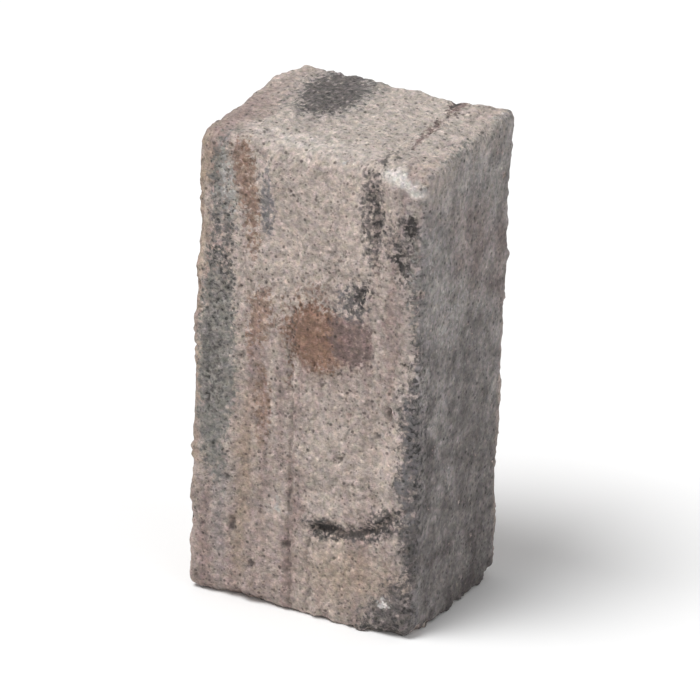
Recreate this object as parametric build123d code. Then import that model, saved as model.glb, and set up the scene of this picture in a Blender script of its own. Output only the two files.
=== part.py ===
from build123d import *

import math
import os

# A palisade block of pressed concrete, stood on end as in a low garden edging.
# The two pressed faces, at the ends of X, are flat: neighbours butt and stack on them.
# The other four sides are split faces, and the block was tumbled, so every arris is worn.
# X runs along a row of blocks, -Y is the front and +Z is up. Sizes are in millimetres.

# Overall sizes
WIDTH = 150.0  # between the two pressed faces
DEPTH = 120.0  # over the high spots of the split front and back
HEIGHT = 300.0  # from the foot to the high spots of the split top

# Wear of the arrises that run along X, from one pressed face to the other
FRONT_TOP_WEAR = 13.0
BACK_TOP_WEAR = 6.0
BACK_FOOT_WEAR = 7.0
FRONT_FOOT_WEAR = 6.0
WEAR_CHANGE = 0.35  # share by which a worn radius comes and goes along its arris
WEAR_WAVELENGTH = 190.0
WEAR_RIPPLE = 0.2  # share by which it also comes and goes over shorter lengths
WEAR_RIPPLE_WAVELENGTH = 47.0

# Wear of the arrises that frame a pressed face
FACE_WEAR = 6.5
FACE_WEAR_CHANGE = 0.3
FACE_WEAR_WAVES = 9  # waves of wear in one trip round the face

# Relief of the split faces
SPLIT_RELIEF = 2.8  # from the mean plane of a split face out to the overall size
SPLIT_WAVE = 0.8  # height of the long waves that the split leaves
SPLIT_WAVELENGTH = 84.0
SPLIT_BELLY = 0.6  # how far the middle of a split face stands proud of its edges
TOP_FALL = 8.0  # how much lower the split top ends at the front than at the back
FOOT_WEAR = 2.8  # taken off the high spots of the lower split face, so that the block stands

# The layers of the mix lie square to X. Each one split a little higher or lower than the next.
LAYER_BORDERS = (-0.30, -0.03, 0.15, 0.28, 0.40)  # shares of the width, from the middle
LAYER_HEIGHTS = (0.2, -1.0, 1.0, 0.1, -0.8, 0.4)  # on the front; the next sides take them in turn
LAYER_BREAK = 2.5  # width of the slope between two layers

# Spacing of the outlines and of the points that their split faces pass through
STATION_SPACING = 12.0
WEAR_STATIONS = 5  # outlines within the wear at each pressed face
POINT_SPACING = 26.0

# Spalls knocked out of the arrises. Each one: its arris point, as shares of the half sizes
# from the block's middle, the radius of the shell-shaped break, and how deep it bites.
SPALLS = (
    ((0.86, -1.0, -1.0), 38.0, 3.2),
    ((1.0, 0.94, -1.0), 26.0, 5.5),
    ((1.0, -1.0, 0.93), 24.0, 3.0),
    ((1.0, 1.0, 0.47), 20.0, 3.0),
    ((1.0, 1.0, 0.14), 24.0, 2.4),
    ((1.0, -1.0, -0.34), 60.0, 3.0),
    ((1.0, -1.0, -0.8), 44.0, 3.6),
    ((0.42, 1.0, 1.0), 42.0, 3.4),
    ((-0.55, -1.0, -1.0), 60.0, 3.4),
    ((-1.0, -1.0, 0.55), 34.0, 2.2),
    ((-1.0, 1.0, -0.92), 30.0, 5.0),
    ((-1.0, 0.95, 1.0), 30.0, 4.6),
    ((-1.0, 1.0, -0.25), 40.0, 2.0),
)

# Mean planes of the four split faces
FRONT = -DEPTH / 2 + SPLIT_RELIEF
BACK = DEPTH / 2 - SPLIT_RELIEF
TOP = HEIGHT  # at the back, where the split top is highest
UNDERSIDE = SPLIT_RELIEF - FOOT_WEAR

# Arrises along X, in the order that an outline passes them: up the front, back over the top,
# down the back and forward under the foot. Each one: y, z, wear, and the share of the width,
# from the middle, where the wear is widest.
ARRISES = (
    (FRONT, UNDERSIDE, FRONT_FOOT_WEAR, -0.33),
    (FRONT, TOP - TOP_FALL, FRONT_TOP_WEAR, 0.03),
    (BACK, TOP, BACK_TOP_WEAR, 0.23),
    (BACK, UNDERSIDE, BACK_FOOT_WEAR, -0.2),
)


def side_after(arris):
    """The direction and the length of the side from this arris to the next."""
    y, z = ARRISES[arris % len(ARRISES)][:2]
    next_y, next_z = ARRISES[(arris + 1) % len(ARRISES)][:2]
    way = Vector(0, next_y - y, next_z - z)
    return way.normalized(), way.length


ROUND_TRIP = sum(side_after(arris)[1] for arris in range(len(ARRISES)))


def layer_height(x, side):
    """Height of the split face in the layer at x, over the mean plane of that side."""
    heights = LAYER_HEIGHTS[side:] + LAYER_HEIGHTS[:side]
    height = heights[0]
    for border, before, after in zip(LAYER_BORDERS, heights, heights[1:]):
        share_of_slope = (x - border * WIDTH) / LAYER_BREAK + 0.5
        height += (after - before) * min(max(share_of_slope, 0.0), 1.0)
    return height


def split_relief(x, along, side_length, side):
    """How far a split face stands out at x and at a distance along its side."""
    turn = 2 * math.pi / SPLIT_WAVELENGTH
    phase = 0.4 + 1.7 * side
    long_wave = math.sin(turn * (along + 0.6 * x) + phase)
    short_wave = 0.7 * math.sin(turn * (1.7 * along - x) + 2.3 * phase)
    belly = SPLIT_BELLY * math.sin(math.pi * along / side_length)
    return layer_height(x, side) + SPLIT_WAVE * (long_wave + short_wave) + belly


def worn_radius(wear, x, widest):
    """Radius of a worn arris at x: it comes and goes along the arris."""
    from_widest = x - widest * WIDTH
    change = WEAR_CHANGE * math.cos(2 * math.pi * from_widest / WEAR_WAVELENGTH)
    ripple = WEAR_RIPPLE * math.sin(2 * math.pi * from_widest / WEAR_RIPPLE_WAVELENGTH)
    return wear * (1 + change + ripple)


def face_inset(x, around):
    """How far the wear round a pressed face pulls the outline in, at x and a distance around."""
    turn = 2 * math.pi * FACE_WEAR_WAVES * around / ROUND_TRIP
    shift = 1.3 if x > 0 else 4.1
    wear = FACE_WEAR * (1 + FACE_WEAR_CHANGE * math.sin(turn + shift))
    depth_into_wear = wear - (WIDTH / 2 - abs(x))
    if depth_into_wear <= 0:
        return 0.0
    return wear - math.sqrt(max(wear**2 - depth_into_wear**2, 0.0))


def outward(direction):
    """The direction out of the block, square to a side."""
    return Vector(0, -direction.Z, direction.Y)


def worn_arris(x, arris, inset):
    """Start, middle and end of the round worn on an arris at x, in an outline pulled in by inset."""
    y, z, wear, widest = ARRISES[arris % len(ARRISES)]
    before, after = side_after(arris - 1)[0], side_after(arris)[0]
    out_before, out_after = outward(before), outward(after)
    bisector = (out_before + out_after).normalized()
    half_turn = math.acos(bisector.dot(out_after))
    radius = worn_radius(wear, x, widest)
    corner = Vector(x, y, z) - bisector * (inset / math.cos(half_turn))
    centre = corner - bisector * (radius / math.cos(half_turn))
    return centre + out_before * radius, centre + bisector * radius, centre + out_after * radius


def outline(x):
    """The closed outline of the block at x: a worn arris, then a split face, four times over."""
    edges = []
    distance = 0.0
    for side, (_, _, wear, _) in enumerate(ARRISES):
        step, side_length = side_after(side)
        out = outward(step)
        inset, next_inset = face_inset(x, distance), face_inset(x, distance + side_length)
        start, middle, end = worn_arris(x, side, inset)
        next_start = worn_arris(x, side + 1, next_inset)[0]
        edges.append(Edge.make_three_point_arc(start, middle, end))

        # The split face, from the end of this arris to the start of the next
        straight = side_length - wear - ARRISES[(side + 1) % len(ARRISES)][2]
        count = round(straight / POINT_SPACING)
        shares = [k / count for k in range(count + 1)]
        unworn_start, unworn_end = end + out * inset, next_start + out * next_inset
        points = [end]
        for share in shares[1:-1]:
            along = wear + straight * share
            relief = math.sin(math.pi * share) ** 0.5 * split_relief(x, along, side_length, side)
            on_line = unworn_start + (unworn_end - unworn_start) * share
            points.append(on_line + out * (relief - face_inset(x, distance + along)))
        points.append(next_start)
        edges.append(Edge.make_spline(points, tangents=[step, step], parameters=shares))
        distance += side_length
    return Wire(edges)


def stations():
    """Places of the outlines along X: close in the wear, two at each layer border, then even."""
    widest_wear = FACE_WEAR * (1 + FACE_WEAR_CHANGE)
    inner = WIDTH / 2 - widest_wear
    marks = [-inner, inner]
    for border in LAYER_BORDERS:
        marks += [border * WIDTH - LAYER_BREAK / 2, border * WIDTH + LAYER_BREAK / 2]
    marks.sort()
    places = [marks[-1]]
    for start, end in zip(marks, marks[1:]):
        count = max(round((end - start) / STATION_SPACING), 1)
        places += [start + (end - start) * k / count for k in range(count)]
    for k in range(WEAR_STATIONS):
        reach = widest_wear * (1 - math.cos(math.pi / 2 * k / WEAR_STATIONS))
        places += [WIDTH / 2 - reach, reach - WIDTH / 2]
    return sorted(places)


def spall(place, radius, bite):
    """The round of stone that a knock takes off an arris: a ball that reaches in by its bite."""
    across, through, up = place
    arris = Vector(
        across * WIDTH / 2,
        (FRONT + BACK) / 2 + through * (BACK - FRONT) / 2,
        (TOP + UNDERSIDE) / 2 + up * (TOP - UNDERSIDE) / 2,
    )
    way_out = Vector(*(share if abs(share) == 1.0 else 0.0 for share in place)).normalized()
    sides_that_meet = sum(abs(share) == 1.0 for share in place)
    already_worn = FACE_WEAR * (math.sqrt(sides_that_meet) - 1)
    return Pos(*(arris + way_out * (radius - bite - already_worn))) * Sphere(radius)


def palisade_block():
    """The whole block, with its foot worn flat and its origin at the middle of the foot."""
    body = Solid.make_loft([outline(x) for x in stations()], ruled=True)
    for place, radius, bite in SPALLS:
        body = body - spall(place, radius, bite)
    ground = Pos(0, 0, -HEIGHT / 2) * Box(2 * WIDTH, 2 * DEPTH, HEIGHT)
    body = body - ground
    box = body.bounding_box()
    return Pos(-box.center().X, -box.center().Y, -box.min.Z) * body


os.makedirs("parts", exist_ok=True)
block = palisade_block()
block.label = "palisade_block"
export_step(block, "parts/palisade_block.step")
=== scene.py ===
"""Looks of a tumbled palisade block of split, marbled concrete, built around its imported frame.

The frame gives the block's place and size. Here its surface gets the relief of split and tumbled
concrete, and its mix of buff, rust and charcoal. Lengths are in millimetres unless a name ends in _m.
"""

import logging
import math
from dataclasses import dataclass
from enum import Enum
from functools import partial

import bpy
import numpy as np
from mathutils import Euler, Matrix, Vector, noise


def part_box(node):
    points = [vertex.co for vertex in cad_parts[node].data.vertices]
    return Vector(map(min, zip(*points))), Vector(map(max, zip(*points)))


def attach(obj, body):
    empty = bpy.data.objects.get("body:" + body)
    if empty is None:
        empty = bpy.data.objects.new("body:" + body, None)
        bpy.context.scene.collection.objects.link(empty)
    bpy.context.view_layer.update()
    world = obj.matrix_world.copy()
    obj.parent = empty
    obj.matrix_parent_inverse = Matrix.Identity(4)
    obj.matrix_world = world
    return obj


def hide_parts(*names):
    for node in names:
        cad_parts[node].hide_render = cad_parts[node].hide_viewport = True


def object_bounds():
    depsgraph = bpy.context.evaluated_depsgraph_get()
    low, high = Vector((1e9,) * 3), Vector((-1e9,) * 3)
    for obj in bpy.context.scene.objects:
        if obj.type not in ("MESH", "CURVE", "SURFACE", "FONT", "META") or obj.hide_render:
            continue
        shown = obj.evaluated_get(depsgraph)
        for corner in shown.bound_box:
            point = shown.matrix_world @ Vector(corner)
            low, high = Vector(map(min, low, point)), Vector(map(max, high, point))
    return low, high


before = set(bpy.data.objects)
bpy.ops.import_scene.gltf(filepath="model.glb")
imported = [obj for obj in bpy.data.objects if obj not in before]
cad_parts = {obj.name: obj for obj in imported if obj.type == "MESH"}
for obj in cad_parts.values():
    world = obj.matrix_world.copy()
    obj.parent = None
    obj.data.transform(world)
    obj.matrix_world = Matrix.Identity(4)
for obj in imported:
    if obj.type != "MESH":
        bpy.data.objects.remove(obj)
CAD_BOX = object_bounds()

LOG = logging.getLogger("palisade_block")

Tree = bpy.types.NodeTree
Socket = bpy.types.NodeSocket
Colour = tuple[float, float, float, float]
Range = tuple[float, float]
Settings = dict[str | int, object]
Links = dict[str | int, Socket]

MM_PER_M = 1000.0
WHOLE: Range = (0.0, 1.0)
NOISE_SPAN: Range = (0.3, 0.7)  # the values that most noise lies in
FINER = 2.1  # how many times finer each further layer of the mesh's noise is
RIDGE_LEVEL = 0.9  # offset of the ridged noise, and its value on level ground
SCATTER = 9.0  # spreads the pits' centres, so that each pit is chosen by itself


def metres(length: float) -> float:
    """Returns a length given in millimetres in metres."""
    return length / MM_PER_M


def linear(hex_code: str) -> Colour:
    """Turns an sRGB hex value into the linear colour that a shader takes.

    Args:
        hex_code: the colour, as in "#b5a69d".

    Returns:
        Linear red, green and blue, and an alpha of one.
    """
    channels = [int(hex_code[i : i + 2], 16) / 255.0 for i in (1, 3, 5)]
    red, green, blue = (c / 12.92 if c <= 0.04045 else ((c + 0.055) / 1.055) ** 2.4 for c in channels)
    return red, green, blue, 1.0


def add_node(
    tree: Tree, kind: str, settings: Settings | None = None, links: Links | None = None
) -> bpy.types.Node:
    """Adds one node with its settings and what feeds it.

    Args:
        tree: the node tree that the node joins.
        kind: Blender's name of the node type.
        settings: a property's or an input's name, or an input's index, and its value.
        links: an input's name or index, and the socket that feeds it.

    Returns:
        The new node.
    """
    node = tree.nodes.new(kind)
    for name, value in (settings or {}).items():
        if isinstance(name, str) and hasattr(node, name):
            setattr(node, name, value)
        else:
            node.inputs[name].default_value = value
    for name, socket in (links or {}).items():
        tree.links.new(socket, node.inputs[name])
    return node


def span(before: Range, after: Range, kind: str = "LINEAR") -> Settings:
    """Gives the settings that move a value from one range to another and hold it inside that.

    Args:
        before: the range that the value comes from.
        after: the range that it goes to.
        kind: how it goes from one end to the other.

    Returns:
        The settings, for add_node.
    """
    ends = {"From Min": before[0], "From Max": before[1], "To Min": after[0], "To Max": after[1]}
    return {"interpolation_type": kind, **ends}


def smooth_step(low: float, high: float, value: float) -> float:
    """Eases from 0 at low to 1 at high.

    Args:
        low: where the step starts.
        high: where it ends.
        value: the place to read it at.

    Returns:
        A share from 0 to 1.
    """
    share = min(max((value - low) / (high - low), 0.0), 1.0)
    return share * share * (3.0 - 2.0 * share)


class Face(Enum):
    """The faces that a stain or a break can lie on."""

    FRONT = "front"
    BACK = "back"
    TOP = "top"
    RIGHT = "right"
    LEFT = "left"


class Pigment(Enum):
    """Colours of the mixes poured together, as they look dry; some also give painted highlights and shade.
    """

    SAND = "#bbada4"
    DUST = "#bbb0a8"
    BUFF = "#afa199"
    PINK = "#9c8a84"
    TAN = "#a3907f"
    OLIVE = "#83807b"
    BROWN = "#967c6e"
    RUST = "#856757"
    MAUVE = "#7a6763"
    SLATE = "#7e7a7b"
    SHADE = "#625c5a"
    CHARCOAL = "#3b3736"
    IRON = "#534d4c"
    ASH = "#a29c99"
    LIME = "#d9d3ce"


@dataclass(frozen=True)
class Stain:
    """A cloud of one pigment where it comes to the surface; a few marked ones paint highlights and shade.

    Its place is given as seen on its face: across from the left edge and up from the foot, or on the
    top, back from the front edge. With no turn its height stands upright, and a turn in degrees
    leans it to the right. Its depth goes into the block. Its strength is the share of the grains
    that it colours, or, where it is even, how far it colours them all. Soft is the share of its
    half size over which it fades, inwards and outwards. An even one lies under the others. A fine
    one keeps its place and gets only a short ragged edge.
    """

    face: Face
    pigment: Pigment
    across: float
    up: float
    width: float
    height: float
    strength: float
    soft: float
    turn: float = 0.0
    depth: float = 24.0
    even: bool = False
    fine: bool = False

    def placing(self, low: Vector, high: Vector) -> tuple[Vector, Vector, Vector]:
        """Works out where the stain's ellipsoid lies in the block.

        Args:
            low: the block's lowest corner.
            high: the block's highest corner.

        Returns:
            The centre, the rotation in radians and the half sizes along X, Y and Z.
        """
        turn = math.radians(self.turn)
        if self.face is Face.TOP:
            centre = Vector((low.x + self.across, low.y + self.up, high.z))
            return centre, Vector((0.0, 0.0, -turn)), Vector((self.width, self.height, self.depth)) / 2
        if self.face in (Face.FRONT, Face.BACK):
            seen_from_front = self.face is Face.FRONT
            x = low.x + self.across if seen_from_front else high.x - self.across
            centre = Vector((x, low.y if seen_from_front else high.y, low.z + self.up))
            rotation = Vector((0.0, turn if seen_from_front else -turn, 0.0))
            return centre, rotation, Vector((self.width, self.depth, self.height)) / 2
        seen_from_right = self.face is Face.RIGHT
        y = low.y + self.across if seen_from_right else high.y - self.across
        centre = Vector((high.x if seen_from_right else low.x, y, low.z + self.up))
        rotation = Vector((-turn if seen_from_right else turn, 0.0, 0.0))
        return centre, rotation, Vector((self.depth, self.width, self.height)) / 2


front, back, top, right, left = (partial(Stain, face) for face in Face)

# The layers of the mix, which run right through the block, and then the patches of each face.
# A row gives the pigment, across, up, width, height, strength and soft.
# A few patches are painted highlights and painted shade, and are marked so where they stand.
STAINS_AND_PAINTED_LIGHT = (
    front(Pigment.SAND, 84, 250, 84, 130, 0.8, 0.5, depth=130, even=True),
    front(Pigment.SAND, 106, 118, 70, 96, 0.7, 0.5, depth=60, even=True),
    top(Pigment.DUST, 78, 64, 150, 150, 0.9, 0.3, depth=50, even=True),
    front(Pigment.PINK, 34, 34, 92, 92, 0.6, 0.5, depth=120, even=True),
    front(Pigment.PINK, 47, 124, 34, 120, 0.5, 0.5, depth=160, even=True),
    front(Pigment.SAND, 59, 67, 18, 22, 0.8, 0.6, even=True),
    front(Pigment.TAN, 110, 28, 60, 50, 0.6, 0.6, even=True),
    front(Pigment.TAN, 1, 180, 8, 260, 0.6, 0.6, depth=60, even=True),
    front(Pigment.TAN, 5, 270, 12, 70, 0.6, 0.6, depth=60, even=True),
    front(Pigment.OLIVE, 17, 152, 27, 160, 0.86, 0.5, depth=90),
    front(Pigment.OLIVE, 16, 110, 22, 110, 0.4, 0.6, depth=90, even=True),
    front(Pigment.OLIVE, 20, 256, 24, 84, 0.66, 0.6, depth=60),
    front(Pigment.LIME, 21, 258, 18, 70, 0.46, 0.6, fine=True),
    front(Pigment.SHADE, 20, 226, 22, 90, 0.5, 0.7),
    front(Pigment.SHADE, 14, 150, 22, 140, 0.4, 0.7),
    front(Pigment.CHARCOAL, 19, 224, 24, 150, 0.3, 0.7),
    front(Pigment.BROWN, 33, 268, 17, 74, 0.72, 0.6, turn=-13, fine=True),
    front(Pigment.BROWN, 38, 238, 13, 60, 0.56, 0.7, turn=-6, fine=True),
    front(Pigment.RUST, 32, 278, 9, 44, 0.42, 0.8, turn=-13, fine=True),
    front(Pigment.SLATE, 47, 256, 11, 60, 0.68, 0.7, turn=-3, fine=True),
    front(Pigment.SAND, 48, 217, 12, 40, 0.6, 0.7, turn=-3, fine=True),
    front(Pigment.BROWN, 44, 184, 22, 48, 0.7, 0.7, turn=3),
    front(Pigment.BROWN, 38, 170, 9, 40, 0.5, 0.7, fine=True),
    front(Pigment.BROWN, 48, 132, 13, 64, 0.58, 0.6, turn=-4),
    front(Pigment.TAN, 40, 110, 12, 70, 0.5, 0.6, even=True),
    front(Pigment.SAND, 54, 150, 5, 100, 0.7, 0.5, turn=-2, even=True, fine=True),
    front(Pigment.MAUVE, 60, 132, 6, 90, 0.4, 0.6, turn=-2, even=True, fine=True),
    front(Pigment.TAN, 36, 60, 9, 90, 0.6, 0.6, turn=3, even=True, fine=True),
    front(Pigment.SAND, 44, 92, 6, 60, 0.5, 0.6, turn=-3, even=True, fine=True),
    front(Pigment.SLATE, 22, 52, 8, 90, 0.4, 0.6, even=True, fine=True),
    front(Pigment.MAUVE, 12, 40, 8, 80, 0.36, 0.6, even=True, fine=True),
    front(Pigment.MAUVE, 69, 60, 5, 120, 0.4, 0.6, even=True, fine=True),
    front(Pigment.SAND, 31, 196, 5, 120, 0.6, 0.5, turn=-2, even=True, fine=True),
    front(Pigment.PINK, 14, 286, 12, 30, 0.5, 0.6, even=True, fine=True),
    front(Pigment.BROWN, 80, 186, 56, 66, 0.5, 0.6, turn=-12),
    front(Pigment.RUST, 83, 180, 46, 44, 0.8, 0.5, turn=8, fine=True),
    front(Pigment.RUST, 86, 177, 50, 36, 0.5, 0.5, turn=-8, even=True, fine=True),
    front(Pigment.MAUVE, 105, 182, 32, 38, 0.74, 0.5, turn=-16, fine=True),
    front(Pigment.MAUVE, 108, 182, 24, 24, 0.4, 0.7, even=True, fine=True),
    front(Pigment.SHADE, 67, 178, 8, 40, 0.36, 0.8, turn=4, fine=True),
    front(Pigment.RUST, 65, 157, 8, 42, 0.42, 0.7, turn=-4, fine=True),
    front(Pigment.SLATE, 104, 205, 26, 26, 0.58, 0.7, turn=30, fine=True),
    front(Pigment.SHADE, 109, 209, 19, 32, 0.58, 0.6, turn=24, fine=True),
    front(Pigment.CHARCOAL, 112, 213, 13, 20, 0.52, 0.6, turn=24, fine=True),
    front(Pigment.SHADE, 90, 222, 34, 12, 0.24, 0.8, turn=-36, fine=True),
    front(Pigment.SHADE, 116, 268, 18, 90, 0.6, 0.6, turn=-5, fine=True),
    front(Pigment.CHARCOAL, 118, 268, 13, 78, 0.38, 0.7, turn=-7, fine=True),
    front(Pigment.MAUVE, 122, 222, 8, 54, 0.4, 0.8, turn=-4, fine=True),
    front(Pigment.SHADE, 140, 242, 28, 68, 0.54, 0.6, turn=-10, fine=True),
    front(Pigment.SLATE, 144, 252, 22, 84, 0.5, 0.6, even=True, fine=True),
    front(Pigment.CHARCOAL, 142, 260, 12, 19, 0.66, 0.6, fine=True),
    front(Pigment.CHARCOAL, 136, 236, 16, 30, 0.48, 0.7, turn=-12, fine=True),
    front(Pigment.CHARCOAL, 146, 214, 13, 28, 0.5, 0.6, fine=True),
    front(Pigment.PINK, 132, 196, 20, 50, 0.5, 0.6, even=True),
    front(Pigment.SHADE, 149, 184, 14, 70, 0.5, 0.7, fine=True),
    front(Pigment.SHADE, 150, 92, 25, 186, 0.72, 0.6, turn=-2),
    front(Pigment.SLATE, 150, 92, 22, 190, 0.5, 0.5, turn=-2, even=True),
    front(Pigment.SLATE, 147, 110, 14, 120, 0.6, 0.7),
    front(Pigment.CHARCOAL, 149, 130, 12, 80, 0.4, 0.6, fine=True),
    front(Pigment.SHADE, 147, 8, 60, 88, 0.72, 0.5, turn=34),
    front(Pigment.SLATE, 142, 4, 60, 50, 0.6, 0.5, turn=-30, even=True),
    front(Pigment.CHARCOAL, 138, 8, 52, 34, 0.4, 0.7, turn=-24, fine=True),
    # Painted shade along the long crack low on the front: these dark stains follow its course.
    front(Pigment.SHADE, 91, 60, 28, 18, 0.66, 0.6, turn=-6, fine=True),
    front(Pigment.CHARCOAL, 91, 60, 21, 12, 0.6, 0.6, turn=-6, fine=True),
    front(Pigment.SHADE, 113, 61, 34, 12, 0.62, 0.6, turn=-10, fine=True),
    front(Pigment.SHADE, 131, 72, 36, 21, 0.66, 0.6, turn=-36, fine=True),
    front(Pigment.CHARCOAL, 128, 70, 30, 10, 0.56, 0.6, turn=-36, fine=True),
    # Painted highlight along the front's top arris, where its rounded edge catches the light.
    front(Pigment.SAND, 80, 289, 66, 7, 0.7, 0.6, even=True, fine=True),
    front(Pigment.LIME, 97, 289, 16, 6, 0.42, 0.8, turn=6, fine=True),
    # Painted highlight on a ridge at the top right of the front.
    front(Pigment.LIME, 134, 286, 37, 8, 0.56, 0.6, turn=20, fine=True),
    front(Pigment.LIME, 134, 286, 38, 9, 0.8, 0.4, turn=20, even=True, fine=True),
    front(Pigment.LIME, 132, 21, 9, 8, 0.66, 0.6, fine=True),
    front(Pigment.LIME, 59, 68, 14, 14, 0.42, 0.6, fine=True),
    top(Pigment.LIME, 66, 14, 70, 24, 0.3, 0.6, even=True, fine=True),
    top(Pigment.PINK, 8, 40, 36, 96, 0.8, 0.5, turn=8, even=True),
    top(Pigment.OLIVE, 46, 88, 52, 96, 0.62, 0.5, turn=-6),
    top(Pigment.SLATE, 46, 92, 44, 90, 0.6, 0.6, turn=-10, even=True, fine=True),
    top(Pigment.SHADE, 46, 84, 42, 74, 0.76, 0.5, turn=-10, fine=True),
    top(Pigment.CHARCOAL, 48, 78, 30, 50, 0.42, 0.7, turn=-10, fine=True),
    top(Pigment.OLIVE, 28, 58, 20, 24, 0.5, 0.6),
    top(Pigment.SHADE, 117, 10, 16, 38, 0.56, 0.7, fine=True),
    top(Pigment.MAUVE, 122, 58, 8, 64, 0.6, 0.7, turn=-4, fine=True),
    top(Pigment.MAUVE, 118, 104, 12, 36, 0.7, 0.7, turn=-14, fine=True),
    top(Pigment.CHARCOAL, 115, 108, 8, 20, 0.56, 0.7, turn=-14, fine=True),
    top(Pigment.OLIVE, 150, 50, 16, 80, 0.5, 0.6),
    right(Pigment.BUFF, 12, 288, 50, 44, 0.5, 0.8, even=True),
    # Painted highlight: a pale band where the right side turns towards the back, standing in for a lit
    # facet.
    right(Pigment.BUFF, 118, 104, 18, 200, 0.8, 0.4, even=True, fine=True),
    right(Pigment.MAUVE, 66, 232, 70, 40, 0.4, 0.6, turn=60, even=True),
    right(Pigment.MAUVE, 104, 214, 22, 60, 0.4, 0.6, even=True),
    right(Pigment.LIME, 8, 220, 34, 110, 0.34, 0.7, fine=True),
    right(Pigment.LIME, 40, 190, 40, 60, 0.3, 0.7, turn=50, fine=True),
    right(Pigment.CHARCOAL, 8, 140, 30, 260, 0.36, 0.7, fine=True),
    right(Pigment.SHADE, 76, 92, 52, 190, 0.42, 0.6, turn=4, even=True),
    back(Pigment.OLIVE, 40, 210, 44, 150, 0.8, 0.5, turn=5),
    back(Pigment.CHARCOAL, 34, 96, 24, 90, 0.5, 0.6, turn=-8),
    back(Pigment.BROWN, 92, 150, 26, 120, 0.7, 0.5, turn=10),
    back(Pigment.RUST, 84, 240, 20, 60, 0.8, 0.4, turn=-20),
    back(Pigment.PINK, 118, 60, 50, 110, 0.6, 0.5, even=True),
    back(Pigment.SAND, 66, 96, 44, 150, 0.5, 0.5, turn=4, even=True),
    back(Pigment.SLATE, 130, 214, 26, 150, 0.5, 0.5, turn=-4, even=True),
    left(Pigment.OLIVE, 50, 190, 90, 150, 0.7, 0.5, turn=12),
    left(Pigment.SHADE, 74, 90, 60, 90, 0.4, 0.5, turn=-20),
    left(Pigment.TAN, 96, 236, 50, 110, 0.5, 0.5, turn=16, even=True),
    left(Pigment.MAUVE, 28, 56, 50, 70, 0.4, 0.6, turn=-24, even=True),
)


@dataclass(frozen=True)
class Break:
    """A crack along a course over a face, or a pit where the course is one point.

    The points are given as on Stain. The break is at its deepest along its course, and its painted
    shade, from 0 to 1, is darkest there.
    """

    face: Face
    course: tuple[tuple[float, float], ...]
    width: float
    depth: float
    painted_shade: float

    def share(self, across: np.ndarray, up: np.ndarray) -> np.ndarray:
        """Works out how far into the break each place lies.

        Args:
            across: each place's distance from the face's left edge.
            up: each place's distance from the foot, or from the front edge on the top.

        Returns:
            One on the course, falling to zero at the break's edge.
        """
        nearest = np.full(across.shape, np.inf)
        for (x0, y0), (x1, y1) in zip(self.course, self.course[1:] or self.course):
            length_squared = max((x1 - x0) ** 2 + (y1 - y0) ** 2, 1e-9)
            along = np.clip(((across - x0) * (x1 - x0) + (up - y0) * (y1 - y0)) / length_squared, 0.0, 1.0)
            away = np.hypot(across - x0 - along * (x1 - x0), up - y0 - along * (y1 - y0))
            nearest = np.minimum(nearest, away)
        return np.clip(1.0 - (nearest / (self.width / 2)) ** 2, 0.0, 1.0)


BREAKS = (
    Break(Face.FRONT, ((84, 59), (94, 61), (104, 58), (116, 62), (129, 70), (143, 83)), 6.0, 2.2, 0.5),
    Break(Face.FRONT, ((84, 59), (94, 62), (100, 60)), 9.0, 2.0, 0.7),
    Break(Face.FRONT, ((84, 59), (80, 42), (82, 24), (81, 4)), 4.0, 1.2, 0.5),
    Break(Face.FRONT, ((62, 172), (66, 150), (68, 120), (67, 60), (69, 4)), 4.0, 1.2, 0.4),
    Break(Face.FRONT, ((74, 96), (71, 130), (72, 158)), 3.4, 0.8, 0.2),
    Break(Face.FRONT, ((31, 296), (34, 240), (31, 180)), 4.0, 0.7, 0.16),
    Break(Face.FRONT, ((33, 157),), 6.5, 2.0, 0.85),
    Break(Face.FRONT, ((30, 51), (31, 47)), 6.0, 2.0, 0.85),
    Break(Face.FRONT, ((44, 25),), 7.0, 2.0, 0.85),
    Break(Face.FRONT, ((65, 42),), 7.0, 2.0, 0.85),
    Break(Face.FRONT, ((132, 146), (132, 139)), 4.6, 2.0, 0.85),
    Break(Face.FRONT, ((103, 107),), 5.0, 1.6, 0.9),
    Break(Face.FRONT, ((124, 127),), 5.0, 1.6, 0.9),
    Break(Face.FRONT, ((26, 78),), 5.4, 1.8, 0.85),
    Break(Face.FRONT, ((12, 128), (12, 124)), 4.6, 1.4, 0.8),
    Break(Face.FRONT, ((87, 150),), 4.4, 1.2, 0.7),
    Break(Face.FRONT, ((94, 222), (88, 216), (91, 208)), 3.6, 1.0, 0.5),
    Break(Face.FRONT, ((118, 276), (121, 262), (119, 246)), 5.0, 1.4, 0.4),
    Break(Face.FRONT, ((142, 264), (141, 256)), 7.0, 1.8, 0.6),
    Break(Face.FRONT, ((137, 244), (134, 230)), 6.0, 1.4, 0.4),
    Break(Face.FRONT, ((114, 218), (108, 208)), 5.0, 1.4, 0.4),
    Break(Face.FRONT, ((58, 262),), 4.6, 1.4, 0.7),
    Break(Face.FRONT, ((72, 244),), 4.6, 1.4, 0.7),
    Break(Face.TOP, ((121, 28), (123, 44)), 3.4, 0.8, 0.4),
    Break(Face.TOP, ((122, 70), (120, 78)), 4.4, 1.0, 0.6),
    Break(Face.TOP, ((117, 98), (113, 112)), 5.0, 1.2, 0.8),
    Break(Face.BACK, ((60, 300), (64, 220), (58, 130), (63, 40)), 5.0, 1.2, 0.3),
    Break(Face.BACK, ((104, 190), (90, 184), (70, 192)), 6.0, 1.6, 0.5),
    Break(Face.LEFT, ((30, 210), (44, 204)), 3.0, 0.6, 0.4),
    Break(Face.RIGHT, ((22, 40), (26, 70)), 3.0, 0.5, 0.3),
)


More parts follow.
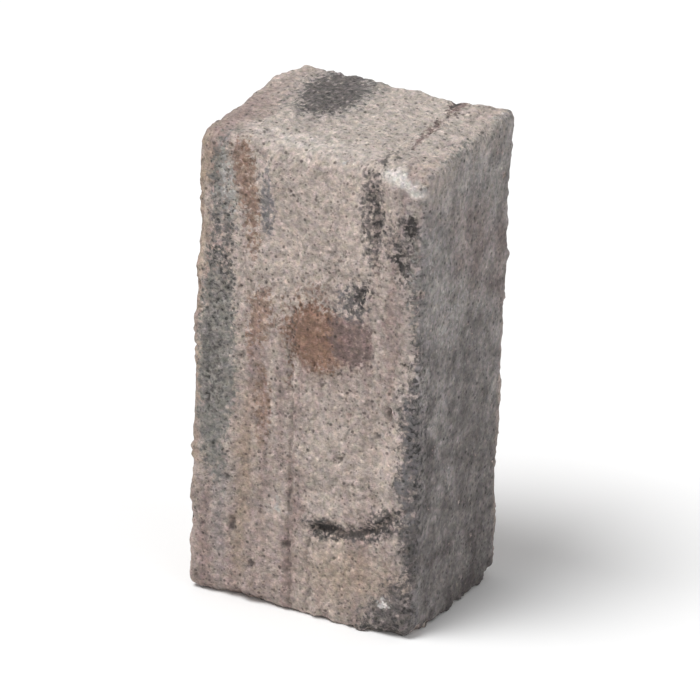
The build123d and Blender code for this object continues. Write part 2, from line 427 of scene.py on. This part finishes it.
@dataclass(frozen=True)
class Specks:
    """Small round marks strewn over the surface, each where a pore or a grain lies.

    Each one is drawn somewhat coarser than the real sand, so that it shows. A speck can lie in each
    cell of the spacing. Skipped is the share of cells that stay bare, told by the cell's own random
    colour in the channel. Shade is the lightness of the speck, where 1 is that of the concrete.
    """

    spacing: float
    radius: float
    channel: str
    skipped: float
    shade: float


SPECKS = (
    Specks(spacing=5.2, radius=1.1, channel="Red", skipped=0.34, shade=0.38),  # open pores, whose dark marks are painted shade
    Specks(spacing=3.0, radius=0.75, channel="Green", skipped=0.4, shade=0.5),  # dark grains
    Specks(spacing=4.4, radius=1.0, channel="Blue", skipped=0.42, shade=1.36),  # pale grains
)


@dataclass(frozen=True)
class Lumps:
    """Noise whose lumps have a real size, with finer lumps added to them."""

    size: float
    detail: float = 3.0  # how many times finer lumps are added
    roughness: float = 0.6  # how strong the finer lumps are

    def settings(self) -> Settings:
        """Returns the settings of the noise, for places in millimetres."""
        return {"Scale": 1.0 / self.size, "Detail": self.detail, "Roughness": self.roughness}


@dataclass(frozen=True)
class Waves:
    """Noise that shifts a place, so that what is drawn there gets a wavy or torn edge."""

    size: float
    reach: float  # how far the strongest wave shifts

    def shift(self, place: Vector) -> Vector:
        """Returns the shift at a place."""
        return noise.noise_vector(place / self.size) * self.reach


@dataclass(frozen=True)
class SplitConcrete:
    """Concrete of several coloured mixes, pressed, split and tumbled.

    Split concrete shows its sand: a matt, gritty skin with small pale and dark grains, torn patches
    of pigment with ragged edges, and painted shade in the hollows. Where the mould pressed it, it is
    smoother.
    """

    roughness: float = 0.92
    ior: float = 1.5
    sand_grain: float = 1.8  # the coarse end of real sand, as finer grains would not show
    grit: Lumps = Lumps(3.6, 4.0, 0.7)
    grit_span: Range = (0.32, 0.68)  # the values that most of the grit lies in
    fine_grit: Lumps = Lumps(1.0, 2.0)  # in the bump alone
    cloud: Lumps = Lumps(13.0, 2.0)  # faintly paler and darker areas
    tint: Lumps = Lumps(3.6, 4.0)  # faint changes of hue
    tear: Waves = Waves(8.0, 13.0)  # ragged edge of a patch
    drift: Waves = Waves(30.0, 16.0)  # slow waves of a patch's edge
    fray: Waves = Waves(5.0, 10.0)  # ragged edge of a fine stain
    layer: float = 8.0  # thickness of a thin layer of the mix
    layer_run: float = 110.0  # how far a thin layer runs before it changes
    layer_stops: tuple[float, float, float] = (0.38, 0.5, 0.63)  # values of pink, buff and sand
    pressed_skin: float = 3.0  # how deep the grey mix reaches behind the right pressed face
    pressed_edge: Range = (-4.0, 3.0)  # where the grey mix starts and is whole, from that depth
    mottle: Lumps = Lumps(16.0, 5.0, 0.62)  # clouds in the grey mix
    mottle_contrast: float = 2.6
    paler_upwards: float = 0.55
    grain_edge: float = 0.4  # share of the grains that a stain colours in part
    stain_cover: float = 0.88  # how far a stain hides what is under it
    grain_shade: Range = (0.84, 1.14)  # lightness of the single grains
    grit_shade: Range = (0.6, 1.34)
    cloud_shade: Range = (0.86, 1.12)
    tint_least: tuple[float, float, float] = (0.87, 0.9, 0.85)  # of red, green and blue
    tint_reach: tuple[float, float, float] = (0.26, 0.2, 0.3)
    speck_edge: Range = (0.6, 1.2)  # in radii, where a speck starts to fade and where it ends
    speck_choice: float = 0.06  # width of the step between a bare cell and one with a speck
    hollow_shade_from: float = 0.15  # how hollow a place is that starts to get painted shade
    hollow_shade_cover: float = 0.85
    grit_height: float = 1.5  # in the bump, beside the fine grit
    grain_height: float = 0.35

    def material(self, low: Vector, high: Vector) -> bpy.types.Material:
        """Makes the concrete for a block with these corners, in millimetres.

        Args:
            low: the block's lowest corner.
            high: the block's highest corner.

        Returns:
            The material.
        """
        material = bpy.data.materials.new("split_tumbled_concrete")
        material.use_nodes = True
        tree = material.node_tree
        tree.nodes.clear()
        local = add_node(tree, "ShaderNodeTexCoord").outputs["Object"]
        to_millimetres = {"operation": "SCALE", "Scale": MM_PER_M}
        place = add_node(tree, "ShaderNodeVectorMath", to_millimetres, {0: local}).outputs["Vector"]
        waved = self._shifted(tree, place, self.tear, place)
        torn = self._shifted(tree, place, self.drift, waved)
        frayed = self._shifted(tree, place, self.fray, place)
        grains = add_node(tree, "ShaderNodeTexVoronoi", {"Scale": 1.0 / self.sand_grain}, {"Vector": place})
        grit = add_node(tree, "ShaderNodeTexNoise", self.grit.settings(), {"Vector": place}).outputs["Fac"]
        speckle = self._speckle(tree, grains, grit)

        colour = self._mix_of_layers(tree, torn)
        colour = self._pressed_side(tree, place, waved, speckle, high, colour)
        colour = self._even_stains_and_highlights(tree, colour)
        for stain in (one for one in STAINS_AND_PAINTED_LIGHT if not one.even):
            edge = frayed if stain.fine else torn
            colour = self._stain(tree, edge, speckle, stain, low, high, colour)
        colour = self._sand(tree, place, grains, grit, colour)
        height = self._skin(tree, place, grains, grit)
        bump = add_node(
            tree, "ShaderNodeBump", {"Strength": 1.0, "Distance": metres(1.0)}, {"Height": height}
        )
        shader = add_node(
            tree,
            "ShaderNodeBsdfPrincipled",
            {"Roughness": self.roughness, "IOR": self.ior},
            {"Base Color": colour, "Normal": bump.outputs["Normal"]},
        )
        add_node(tree, "ShaderNodeOutputMaterial", links={"Surface": shader.outputs["BSDF"]})
        return material

    def _shifted(self, tree: Tree, place: Socket, waves: Waves, start: Socket) -> Socket:
        """Shifts each place by noise.

        Args:
            tree: the material's node tree.
            place: where the noise is read.
            waves: the size of the waves and how far they shift.
            start: what is shifted.

        Returns:
            The shifted place.
        """
        lumps = add_node(tree, "ShaderNodeTexNoise", Lumps(waves.size).settings(), {"Vector": place})
        centred = add_node(
            tree,
            "ShaderNodeVectorMath",
            {"operation": "SUBTRACT", 1: (0.5, 0.5, 0.5)},
            {0: lumps.outputs["Color"]},
        )
        return add_node(
            tree,
            "ShaderNodeVectorMath",
            {"operation": "MULTIPLY_ADD", 1: (waves.reach, waves.reach, waves.reach)},
            {0: centred.outputs["Vector"], 2: start},
        ).outputs["Vector"]

    def _speckle(self, tree: Tree, grains: bpy.types.Node, grit: Socket) -> Socket:
        """Gives each grain of sand its own share, which says how strong a stain must be to colour it.

        Args:
            tree: the material's node tree.
            grains: the grains of sand.
            grit: the noise of the grit.

        Returns:
            The share, divided by the grain edge.
        """
        half = (0.0, 0.5 / self.grain_edge)
        cell = add_node(tree, "ShaderNodeSeparateColor", links={"Color": grains.outputs["Color"]})
        own = add_node(tree, "ShaderNodeMapRange", span(WHOLE, half), {"Value": cell.outputs["Green"]})
        lump = add_node(tree, "ShaderNodeMapRange", span(self.grit_span, half), {"Value": grit})
        halves = {0: own.outputs["Result"], 1: lump.outputs["Result"]}
        return add_node(tree, "ShaderNodeMath", {"operation": "ADD"}, halves).outputs["Value"]

    def _broken_up(self, tree: Tree, cover: Socket, speckle: Socket) -> Socket:
        """Returns a cover broken up by the grains, of which it colours the ones whose share it passes."""
        settings = {"operation": "SUBTRACT", "use_clamp": True}
        return add_node(tree, "ShaderNodeMath", settings, {0: cover, 1: speckle}).outputs["Value"]

    def _mix_of_layers(self, tree: Tree, torn: Socket) -> Socket:
        """Lays the thin layers of buff, sand and pink mix, square to the block's width.

        Args:
            tree: the material's node tree.
            torn: the place on the block, shifted by noise.

        Returns:
            The colour of the layers.
        """
        stretch = (1.0 / self.layer, 1.0 / self.layer_run, 1.0 / self.layer_run)
        layers = add_node(tree, "ShaderNodeVectorMath", {"operation": "MULTIPLY", 1: stretch}, {0: torn})
        links = {"Vector": layers.outputs["Vector"]}
        bands = add_node(tree, "ShaderNodeTexNoise", Lumps(1.0).settings(), links)
        ramp = add_node(tree, "ShaderNodeValToRGB", links={"Fac": bands.outputs["Fac"]})
        pink, buff, sand = self.layer_stops
        stops = ramp.color_ramp.elements
        stops[0].position, stops[0].color = pink, linear(Pigment.PINK.value)
        stops[1].position, stops[1].color = sand, linear(Pigment.SAND.value)
        middle = stops.new(buff)
        middle.color = linear(Pigment.BUFF.value)
        return ramp.outputs["Color"]

    def _pressed_side(
        self, tree: Tree, place: Socket, waved: Socket, speckle: Socket, high: Vector, under: Socket
    ) -> Socket:
        """Lays the grey mix that fills the block behind its right pressed face.

        Args:
            tree: the material's node tree.
            place: the place on the block in millimetres.
            waved: the same place, shifted by noise.
            speckle: each grain's share.
            high: the block's highest corner.
            under: the colour so far.

        Returns:
            The colour with the grey mix over it.
        """
        across = add_node(tree, "ShaderNodeSeparateXYZ", links={"Vector": waved})
        start, end = (high.x - self.pressed_skin + edge for edge in self.pressed_edge)
        full = 1.0 / self.grain_edge + 1.0
        cover = add_node(
            tree,
            "ShaderNodeMapRange",
            span((start, end), (0.0, full), "SMOOTHSTEP"),
            {"Value": across.outputs["X"]},
        )
        mask = self._broken_up(tree, cover.outputs["Result"], speckle)
        mottle = add_node(tree, "ShaderNodeTexNoise", self.mottle.settings(), {"Vector": place})
        upwards = span((0.0, high.z), (0.0, self.paler_upwards))
        rise = add_node(tree, "ShaderNodeMapRange", upwards, {"Value": across.outputs["Z"]})
        lightness = add_node(
            tree,
            "ShaderNodeMath",
            {"operation": "MULTIPLY_ADD", 1: self.mottle_contrast},
            {0: mottle.outputs["Fac"], 2: rise.outputs["Result"]},
        )
        share = add_node(
            tree, "ShaderNodeMapRange", span((1.0, 2.0), WHOLE), {"Value": lightness.outputs["Value"]}
        )
        grey = add_node(
            tree,
            "ShaderNodeMix",
            {"data_type": "RGBA", 6: linear(Pigment.IRON.value), 7: linear(Pigment.ASH.value)},
            {0: share.outputs["Result"]},
        )
        both = {0: mask, 6: under, 7: grey.outputs[2]}
        return add_node(tree, "ShaderNodeMix", {"data_type": "RGBA"}, both).outputs[2]

    def _even_stains_and_highlights(self, tree: Tree, under: Socket) -> Socket:
        """Lays the even stains and painted highlights, which the mesh carries as what they add and leave.

        Args:
            tree: the material's node tree.
            under: the colour so far.

        Returns:
            The colour with the even stains and painted highlights over it.
        """
        carried = add_node(tree, "ShaderNodeAttribute", {"attribute_name": "even_stains_and_highlights"}).outputs
        links = {0: under, "Scale": carried["Alpha"]}
        left = add_node(tree, "ShaderNodeVectorMath", {"operation": "SCALE"}, links)
        links = {0: left.outputs["Vector"], 1: carried["Color"]}
        return add_node(tree, "ShaderNodeVectorMath", {"operation": "ADD"}, links).outputs["Vector"]

    def _stain(
        self,
        tree: Tree,
        edge: Socket,
        speckle: Socket,
        stain: Stain,
        low: Vector,
        high: Vector,
        under: Socket,
    ) -> Socket:
        """Lays one stain over the colour so far.

        Args:
            tree: the material's node tree.
            edge: the place on the block, shifted by noise.
            speckle: each grain's share.
            stain: the stain.
            low: the block's lowest corner.
            high: the block's highest corner.
            under: the colour so far.

        Returns:
            The colour with the stain over it.
        """
        centre, rotation, half_size = stain.placing(low, high)
        inside = add_node(
            tree,
            "ShaderNodeMapping",
            {"vector_type": "TEXTURE", "Location": centre, "Rotation": rotation, "Scale": half_size},
            {"Vector": edge},
        )
        links = {0: inside.outputs["Vector"]}
        distance = add_node(tree, "ShaderNodeVectorMath", {"operation": "LENGTH"}, links)
        full = stain.strength * (1.0 / self.grain_edge + 1.0)
        fade = span((1.0 - stain.soft, 1.0 + stain.soft), (full, 0.0), "SMOOTHSTEP")
        cover = add_node(tree, "ShaderNodeMapRange", fade, {"Value": distance.outputs["Value"]})
        mask = self._broken_up(tree, cover.outputs["Result"], speckle)
        mask = add_node(tree, "ShaderNodeMapRange", span(WHOLE, (0.0, self.stain_cover)), {"Value": mask})
        settings = {"data_type": "RGBA", 7: linear(stain.pigment.value)}
        return add_node(tree, "ShaderNodeMix", settings, {0: mask.outputs["Result"], 6: under}).outputs[2]

    def _sand(
        self, tree: Tree, place: Socket, grains: bpy.types.Node, grit: Socket, under: Socket
    ) -> Socket:
        """Breaks the colour up into grains of sand and small stones, and paints shade into the hollows.

        Args:
            tree: the material's node tree.
            place: the place on the block in millimetres.
            grains: the grains of sand.
            grit: the noise of the grit.
            under: the colour so far.

        Returns:
            The colour with its sand.
        """
        cell = add_node(tree, "ShaderNodeSeparateColor", links={"Color": grains.outputs["Color"]})
        own = span(WHOLE, self.grain_shade)
        light = add_node(tree, "ShaderNodeMapRange", own, {"Value": cell.outputs["Red"]}).outputs["Result"]
        cloud = add_node(tree, "ShaderNodeTexNoise", self.cloud.settings(), {"Vector": place}).outputs["Fac"]
        for value, shade in ((grit, self.grit_shade), (cloud, self.cloud_shade)):
            part = add_node(tree, "ShaderNodeMapRange", span(NOISE_SPAN, shade), {"Value": value})
            links = {0: light, 1: part.outputs["Result"]}
            light = add_node(tree, "ShaderNodeMath", {"operation": "MULTIPLY"}, links).outputs["Value"]
        for specks in SPECKS:
            links = {0: light, 1: self._strewn(tree, place, specks)}
            light = add_node(tree, "ShaderNodeMath", {"operation": "MULTIPLY"}, links).outputs["Value"]

        hue = add_node(tree, "ShaderNodeTexNoise", self.tint.settings(), {"Vector": place}).outputs["Color"]
        settings = {"operation": "MULTIPLY_ADD", 1: self.tint_reach, 2: self.tint_least}
        tint = add_node(tree, "ShaderNodeVectorMath", settings, {0: hue}).outputs["Vector"]
        tinted = add_node(tree, "ShaderNodeVectorMath", {"operation": "MULTIPLY"}, {0: under, 1: tint})
        links = {0: tinted.outputs["Vector"], "Scale": light}
        lit = add_node(tree, "ShaderNodeVectorMath", {"operation": "SCALE"}, links).outputs["Vector"]

        # Painted shade: the hollower a place lies, the nearer its colour goes to charcoal.
        hollow = add_node(tree, "ShaderNodeAttribute", {"attribute_name": "hollow"}).outputs["Fac"]
        darkens = span((self.hollow_shade_from, 1.0), (0.0, self.hollow_shade_cover))
        painted_shade = add_node(tree, "ShaderNodeMapRange", darkens, {"Value": hollow}).outputs["Result"]
        settings = {"data_type": "RGBA", 7: linear(Pigment.CHARCOAL.value)}
        return add_node(tree, "ShaderNodeMix", settings, {0: painted_shade, 6: lit}).outputs[2]

    def _strewn(self, tree: Tree, place: Socket, specks: Specks) -> Socket:
        """Strews one kind of specks.

        Args:
            tree: the material's node tree.
            place: the place on the block in millimetres.
            specks: their spacing, size and shade.

        Returns:
            One, or their shade where one lies.
        """
        cells = add_node(tree, "ShaderNodeTexVoronoi", {"Scale": 1.0 / specks.spacing}, {"Vector": place})
        kind = add_node(tree, "ShaderNodeSeparateColor", links={"Color": cells.outputs["Color"]})
        fades, ends = (specks.radius / specks.spacing * edge for edge in self.speck_edge)
        round_one = span((fades, ends), (1.0, 0.0))
        body = add_node(tree, "ShaderNodeMapRange", round_one, {"Value": cells.outputs["Distance"]})
        choice = span((specks.skipped, specks.skipped + self.speck_choice), WHOLE)
        picked = add_node(tree, "ShaderNodeMapRange", choice, {"Value": kind.outputs[specks.channel]})
        links = {0: body.outputs["Result"], 1: picked.outputs["Result"]}
        seen = add_node(tree, "ShaderNodeMath", {"operation": "MULTIPLY"}, links).outputs["Value"]
        shade = span(WHOLE, (1.0, specks.shade))
        return add_node(tree, "ShaderNodeMapRange", shade, {"Value": seen}).outputs["Result"]

    def _skin(self, tree: Tree, place: Socket, grains: bpy.types.Node, grit: Socket) -> Socket:
        """Gives the height of the gritty skin, in millimetres.

        Args:
            tree: the material's node tree.
            place: the place on the block in millimetres.
            grains: the grains of sand, as domes.
            grit: the noise of the grit.

        Returns:
            The height.
        """
        fine = add_node(tree, "ShaderNodeTexNoise", self.fine_grit.settings(), {"Vector": place})
        lumps = {"operation": "MULTIPLY_ADD", 1: self.grit_height}
        height = add_node(tree, "ShaderNodeMath", lumps, {0: grit, 2: fine.outputs["Fac"]})
        domes = {"operation": "MULTIPLY_ADD", 1: -self.grain_height}
        links = {0: grains.outputs["Distance"], 2: height.outputs["Value"]}
        return add_node(tree, "ShaderNodeMath", domes, links).outputs["Value"]


@dataclass
class TumbledBlock:
    """The block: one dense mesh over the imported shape, with the relief of split and tumbled concrete."""

    node: str = "palisade_block"
    body: str = "root"
    slot: str = "concrete"
    finish: SplitConcrete = SplitConcrete()
    seed: int = 7  # of the noise vectors, which otherwise change with the clock
    cell: float = 1.5  # side of a mesh face
    smoothing: int = 3  # rounds of smoothing, over the steps that the cells leave
    warp: Waves = Waves(20.0, 4.0)  # bends the lumps and layers
    lump: float = 16.0
    lump_height: float = 1.5
    layer: float = 5.0  # thickness of the layers that stand proud or lie back
    layer_run: float = 50.0
    layer_height: float = 0.7
    crumb: float = 6.5  # grit that the split tore out or left standing
    crumb_height: float = 0.9
    rough_area: float = 34.0  # calm and rough areas take turns over such a distance
    rough_span: Range = (-0.35, 0.45)  # noise of the calmest and of the roughest area
    calm_share: float = 0.45  # of the crumbs' height, in the calmest area
    rough_share: float = 1.1  # what the roughest area adds to that
    pit_spacing: float = 8.0
    pit_edge: Range = (0.28, 0.1)  # in spacings, where a pit starts and where it is deepest
    pits_skipped: float = 0.55
    pit_depth: float = 1.5
    chip_size: float = 13.0  # along an arris
    chip_notch: float = 5.0  # smaller bites in a chip's edge
    chip_reach: float = 6.0  # from the arris
    chip_depth: float = 4.0
    pressed_turn: Range = (0.78, 0.96)  # how far a normal turns along X, at a pressed face's arris and on it
    pressed_share: float = 0.25  # relief of a pressed face beside a split one
    pits_pressed_out: float = 0.6
    hollow_shade_pressed_out: float = 0.5
    set_back: float = 0.3  # of a pressed face, so that its grit stays inside the block's box
    hollow_shade_depth: Range = (0.9, 2.6)  # where a hollow starts to get painted shade and where that shade is darkest
    crumb_shade: float = 1.1  # how much a hollow between crumbs counts
    lump_shade: float = 0.5
    stain_fray: Waves = Waves(7.0, 3.0)  # edge of a fine even stain
    stain_drift: Waves = Waves(26.0, 8.0)  # edge of any other even stain, with the next one
    stain_tear: Waves = Waves(8.0, 5.0)
    break_tear: Waves = Waves(3.5, 2.2)  # edge of a crack or a pit
    break_facing: float = 0.5  # part of a normal towards its face from which a break is whole

    def __post_init__(self) -> None:
        """Reads the block's corners from the frame."""
        low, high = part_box(self.node)
        self.low, self.high = low * MM_PER_M, high * MM_PER_M

    def build(self) -> bpy.types.Object:
        """Makes the block and gives it its place and its finish.

        Returns:
            The new piece.
        """
        piece = self._dense_copy()
        self._roughen(piece)
        piece.data.materials.clear()
        piece.data.materials.append(self.finish.material(self.low, self.high))
        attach(piece, self.body)
        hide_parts(self.node)
        return piece

    def _dense_copy(self) -> bpy.types.Object:
        """Makes an even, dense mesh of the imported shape.

        Returns:
            The new object.
        """
        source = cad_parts[self.node]
        rough = bpy.data.objects.new("block_shape", source.data.copy())
        bpy.context.scene.collection.objects.link(rough)
        remesh = rough.modifiers.new("even", "REMESH")
        remesh.mode = "VOXEL"
        remesh.voxel_size = metres(self.cell)
        smooth = rough.modifiers.new("smooth", "SMOOTH")
        smooth.factor = 0.5
        smooth.iterations = self.smoothing
        shaped = rough.evaluated_get(bpy.context.evaluated_depsgraph_get())
        mesh = bpy.data.meshes.new_from_object(shaped)
        mesh.name = "tumbled_block"
        piece = bpy.data.objects.new("tumbled_block", mesh)
        bpy.context.scene.collection.objects.link(piece)
        bpy.data.objects.remove(rough)
        return piece

    def _roughen(self, piece: bpy.types.Object) -> None:
        """Moves each vertex by the relief of its face, and stores its painted shade, even stains and
        highlights.

        Args:
            piece: the dense block.
        """
        noise.seed_set(self.seed)
        mesh = piece.data
        count = len(mesh.vertices)
        places = np.empty(count * 3)
        mesh.vertices.foreach_get("co", places)
        places = places.reshape(-1, 3) * MM_PER_M
        normals = np.empty(count * 3)
        mesh.vertex_normals.foreach_get("vector", normals)
        normals = normals.reshape(-1, 3)
        moves, hollows = np.empty(count), np.empty(count)
        torn, frayed = np.empty((count, 3)), np.empty((count, 3))
        for i in range(count):
            place = Vector(places[i])
            moves[i], hollows[i] = self._relief(place, Vector(normals[i]))
            frayed[i] = place + self.stain_fray.shift(place)
            torn[i] = place + self.stain_drift.shift(place) + self.stain_tear.shift(place)
        for one in BREAKS:
            share = self._share_of_break(one, places, normals)
            moves -= one.depth * share
            hollows = np.maximum(hollows, one.painted_shade * share)
        places += normals * moves[:, None]
        places = np.clip(places, np.array(self.low), np.array(self.high))
        mesh.vertices.foreach_set("co", (places / MM_PER_M).ravel())
        mesh.attributes.new("hollow", "FLOAT", "POINT").data.foreach_set("value", hollows)
        even = mesh.attributes.new("even_stains_and_highlights", "FLOAT_COLOR", "POINT")
        even.data.foreach_set("color", self._even_stains_and_highlights(torn, frayed).ravel())
        mesh.shade_smooth()
        mesh.update()

    def _even_stains_and_highlights(self, torn: np.ndarray, frayed: np.ndarray) -> np.ndarray:
        """Lays the even stains and painted highlights over each other at each vertex.

        Args:
            torn: the vertices, shifted by strong noise.
            frayed: the vertices, shifted by weak noise, for the fine stains.

        Returns:
            Red, green and blue that they add, and the share of the mix under them that is left.
        """
        added = np.zeros((len(torn), 3))
        left = np.ones(len(torn))
        for stain in (one for one in STAINS_AND_PAINTED_LIGHT if one.even):
            centre, rotation, half_size = stain.placing(self.low, self.high)
            turned = np.array(Euler(rotation).to_matrix())
            places = frayed if stain.fine else torn
            distance = np.linalg.norm((places - np.array(centre)) @ turned / np.array(half_size), axis=1)
            share = np.clip((1.0 + stain.soft - distance) / (2.0 * stain.soft), 0.0, 1.0)
            cover = (stain.strength * share * share * (3.0 - 2.0 * share))[:, None]
            added = added * (1.0 - cover) + cover * np.array(linear(stain.pigment.value)[:3])
            left *= 1.0 - cover[:, 0]
        return np.column_stack([added, left])

    def _share_of_break(self, one: Break, places: np.ndarray, normals: np.ndarray) -> np.ndarray:
        """Works out how far into a break each vertex lies.

        Args:
            one: the break.
            places: the vertices.
            normals: the way out of the block at each of them.

        Returns:
            A share from 0 to 1 for each vertex, with a ragged edge.
        """
        x, y, z = places.T
        across, up, facing = {
            Face.FRONT: (x - self.low.x, z - self.low.z, -normals[:, 1]),
            Face.BACK: (self.high.x - x, z - self.low.z, normals[:, 1]),
            Face.TOP: (x - self.low.x, y - self.low.y, normals[:, 2]),
            Face.RIGHT: (y - self.low.y, z - self.low.z, normals[:, 0]),
            Face.LEFT: (self.high.y - y, z - self.low.z, -normals[:, 0]),
        }[one.face]
        share = one.share(across, up)
        for i in np.flatnonzero(share):
            ragged = self.break_tear.shift(Vector(places[i]))
            share[i] = one.share(across[i : i + 1] + ragged.x, up[i : i + 1] + ragged.z)[0]
        return share * np.clip(facing / self.break_facing, 0.0, 1.0)

    def _relief(self, place: Vector, normal: Vector) -> tuple[float, float]:
        """Works out the relief at one place.

        Args:
            place: the place on the smooth block.
            normal: the way out of the block there.

        Returns:
            How far the surface moves out, and how hollow it lies from 0 to 1.
        """
        bent = place + self.warp.shift(place)
        lumps = noise.fractal(bent / self.lump, 0.9, FINER, 4) * self.lump_height
        along_layer = Vector((bent.x / self.layer, bent.y / self.layer_run, bent.z / self.layer_run))
        layers = noise.noise(along_layer) * self.layer_height
        ridges = noise.ridged_multi_fractal(bent / self.crumb, 0.8, FINER, 3, RIDGE_LEVEL, 2.0)
        roughest = smooth_step(*self.rough_span, noise.noise(place / self.rough_area))
        broken = (ridges - RIDGE_LEVEL) * self.crumb_height
        broken *= self.calm_share + self.rough_share * roughest
        distances, centres = noise.voronoi(place / self.pit_spacing)
        chosen = noise.cell(centres[0] * SCATTER) > self.pits_skipped
        pit = smooth_step(*self.pit_edge, distances[0]) * chosen
        pressed = smooth_step(*self.pressed_turn, abs(normal.x))
        height = (lumps + layers - broken) * (1.0 + (self.pressed_share - 1.0) * pressed)
        height -= self.pit_depth * pit * (1.0 - self.pits_pressed_out * pressed)
        height -= self._chip(place)
        # How hollow a place lies, which sets how much painted shade it gets.
        depth = self.pit_depth * pit + broken * self.crumb_shade - lumps * self.lump_shade
        hollow = smooth_step(*self.hollow_shade_depth, depth)
        height = height * (1.0 - pressed) + min(height - self.set_back, 0.0) * pressed
        return height, hollow * (1.0 - self.hollow_shade_pressed_out * pressed)

    def _chip(self, place: Vector) -> float:
        """Works out how deep the nearest arris is chipped at a place.

        Args:
            place: the place on the smooth block.

        Returns:
            The depth of the chip.
        """
        middle = (self.low + self.high) / 2
        half = (self.high - self.low) / 2
        to_faces = sorted(half[i] - abs(place[i] - middle[i]) for i in range(3))
        near_arris = math.exp(-((max(to_faces[1], 0.0) / self.chip_reach) ** 2))
        bite = noise.noise(place / self.chip_size) + 0.5 * noise.noise(place / self.chip_notch)
        return near_arris * self.chip_depth * max(bite, 0.0)


@dataclass(frozen=True)
class Lamp:
    """A large soft lamp so far off that it lights as evenly as a sun. Its angles are in degrees."""

    name: str
    azimuth: float
    elevation: float
    spread: float
    strength: float


LAMPS = (
    Lamp("key", azimuth=-34.0, elevation=64.0, spread=28.0, strength=2.5),
    Lamp("fill", azimuth=75.0, elevation=30.0, spread=60.0, strength=0.36),
)


@dataclass
class Studio:
    """A pale floor, soft light and a camera that looks as the photograph does."""

    azimuth: float = 27.3  # degrees round from the front to the right
    elevation: float = 22.5  # degrees down
    distance_m: float = 3.45
    roll: float = 2.0  # degrees
    focal_length: float = 300.0
    sensor_width: float = 36.0
    far_end_m: float = 100.0
    floor_half_size_m: float = 12.0
    floor_colour: str = "#f2f2f2"
    floor_roughness: float = 0.9
    floor_gloss: float = 0.2
    sky_strength: float = 0.43
    backdrop_strength: float = 1.0

    def build(self) -> None:
        """Makes the floor, the light and the camera."""
        self._floor()
        self._world()
        self._lamps()
        self._camera()

    def _target(self) -> Vector:
        """Returns the middle of the block in metres."""
        low, high = (Vector(corner) for corner in CAD_BOX)
        return (low + high) / 2

    def _way(self, azimuth: float, elevation: float) -> Vector:
        """Turns an azimuth and an elevation in degrees into a direction away from the block."""
        a, e = math.radians(azimuth), math.radians(elevation)
        return Vector((math.sin(a) * math.cos(e), -math.cos(a) * math.cos(e), math.sin(e)))

    def _floor(self) -> None:
        """Lays a pale floor under the block."""
        half = self.floor_half_size_m
        corners = [(-half, -half, 0), (half, -half, 0), (half, half, 0), (-half, half, 0)]
        mesh = bpy.data.meshes.new("floor")
        mesh.from_pydata(corners, [], [(0, 1, 2, 3)])
        floor = bpy.data.objects.new("floor", mesh)
        bpy.context.scene.collection.objects.link(floor)
        material = bpy.data.materials.new("white_floor")
        material.use_nodes = True
        shader = material.node_tree.nodes["Principled BSDF"]
        shader.inputs["Base Color"].default_value = linear(self.floor_colour)
        shader.inputs["Roughness"].default_value = self.floor_roughness
        shader.inputs["Specular IOR Level"].default_value = self.floor_gloss
        mesh.materials.append(material)

    def _world(self) -> None:
        """Lights the scene evenly from all round, and shows white behind it."""
        world = bpy.data.worlds.new("studio")
        bpy.context.scene.world = world
        world.use_nodes = True
        tree = world.node_tree
        tree.nodes.clear()
        rays = add_node(tree, "ShaderNodeLightPath").outputs
        seen = rays["Is Camera Ray"]
        for other in ("Is Glossy Ray", "Is Transmission Ray"):
            either = add_node(tree, "ShaderNodeMath", {"operation": "MAXIMUM"}, {0: seen, 1: rays[other]})
            seen = either.outputs["Value"]
        white = linear("#ffffff")
        light, backdrop = (
            add_node(tree, "ShaderNodeBackground", {"Color": white, "Strength": strength})
            for strength in (self.sky_strength, self.backdrop_strength)
        )
        both = add_node(
            tree,
            "ShaderNodeMixShader",
            links={0: seen, 1: light.outputs["Background"], 2: backdrop.outputs["Background"]},
        )
        add_node(tree, "ShaderNodeOutputWorld", links={"Surface": both.outputs["Shader"]})

    def _lamps(self) -> None:
        """Hangs the key lamp up on the left and the weak one on the right."""
        for one in LAMPS:
            lamp = bpy.data.lights.new(one.name, "SUN")
            lamp.angle = math.radians(one.spread)
            lamp.energy = one.strength
            holder = bpy.data.objects.new(one.name, lamp)
            bpy.context.scene.collection.objects.link(holder)
            way = self._way(one.azimuth, one.elevation)
            holder.location = self._target() + way
            holder.rotation_euler = way.to_track_quat("Z", "Y").to_euler()

    def _camera(self) -> None:
        """Stands the camera at the photograph's viewing angle."""
        camera = bpy.data.cameras.new("camera")
        camera.lens = self.focal_length
        camera.sensor_width = self.sensor_width
        camera.clip_end = self.far_end_m
        holder = bpy.data.objects.new("camera", camera)
        bpy.context.scene.collection.objects.link(holder)
        way = self._way(self.azimuth, self.elevation)
        turned = way.to_track_quat("Z", "Y").to_matrix() @ Matrix.Rotation(math.radians(self.roll), 3, "Z")
        holder.rotation_euler = turned.to_euler()
        holder.location = self._target() + way * self.distance_m
        bpy.context.scene.camera = holder


def main() -> None:
    """Builds the block and its studio, and reports each piece."""
    logging.basicConfig(level=logging.INFO, format="%(message)s")
    piece = TumbledBlock().build()
    LOG.info("%s: %d faces", piece.name, len(piece.data.polygons))
    Studio().build()
    bpy.context.scene.view_settings.view_transform = "Standard"


if __name__ == "__main__":
    main()
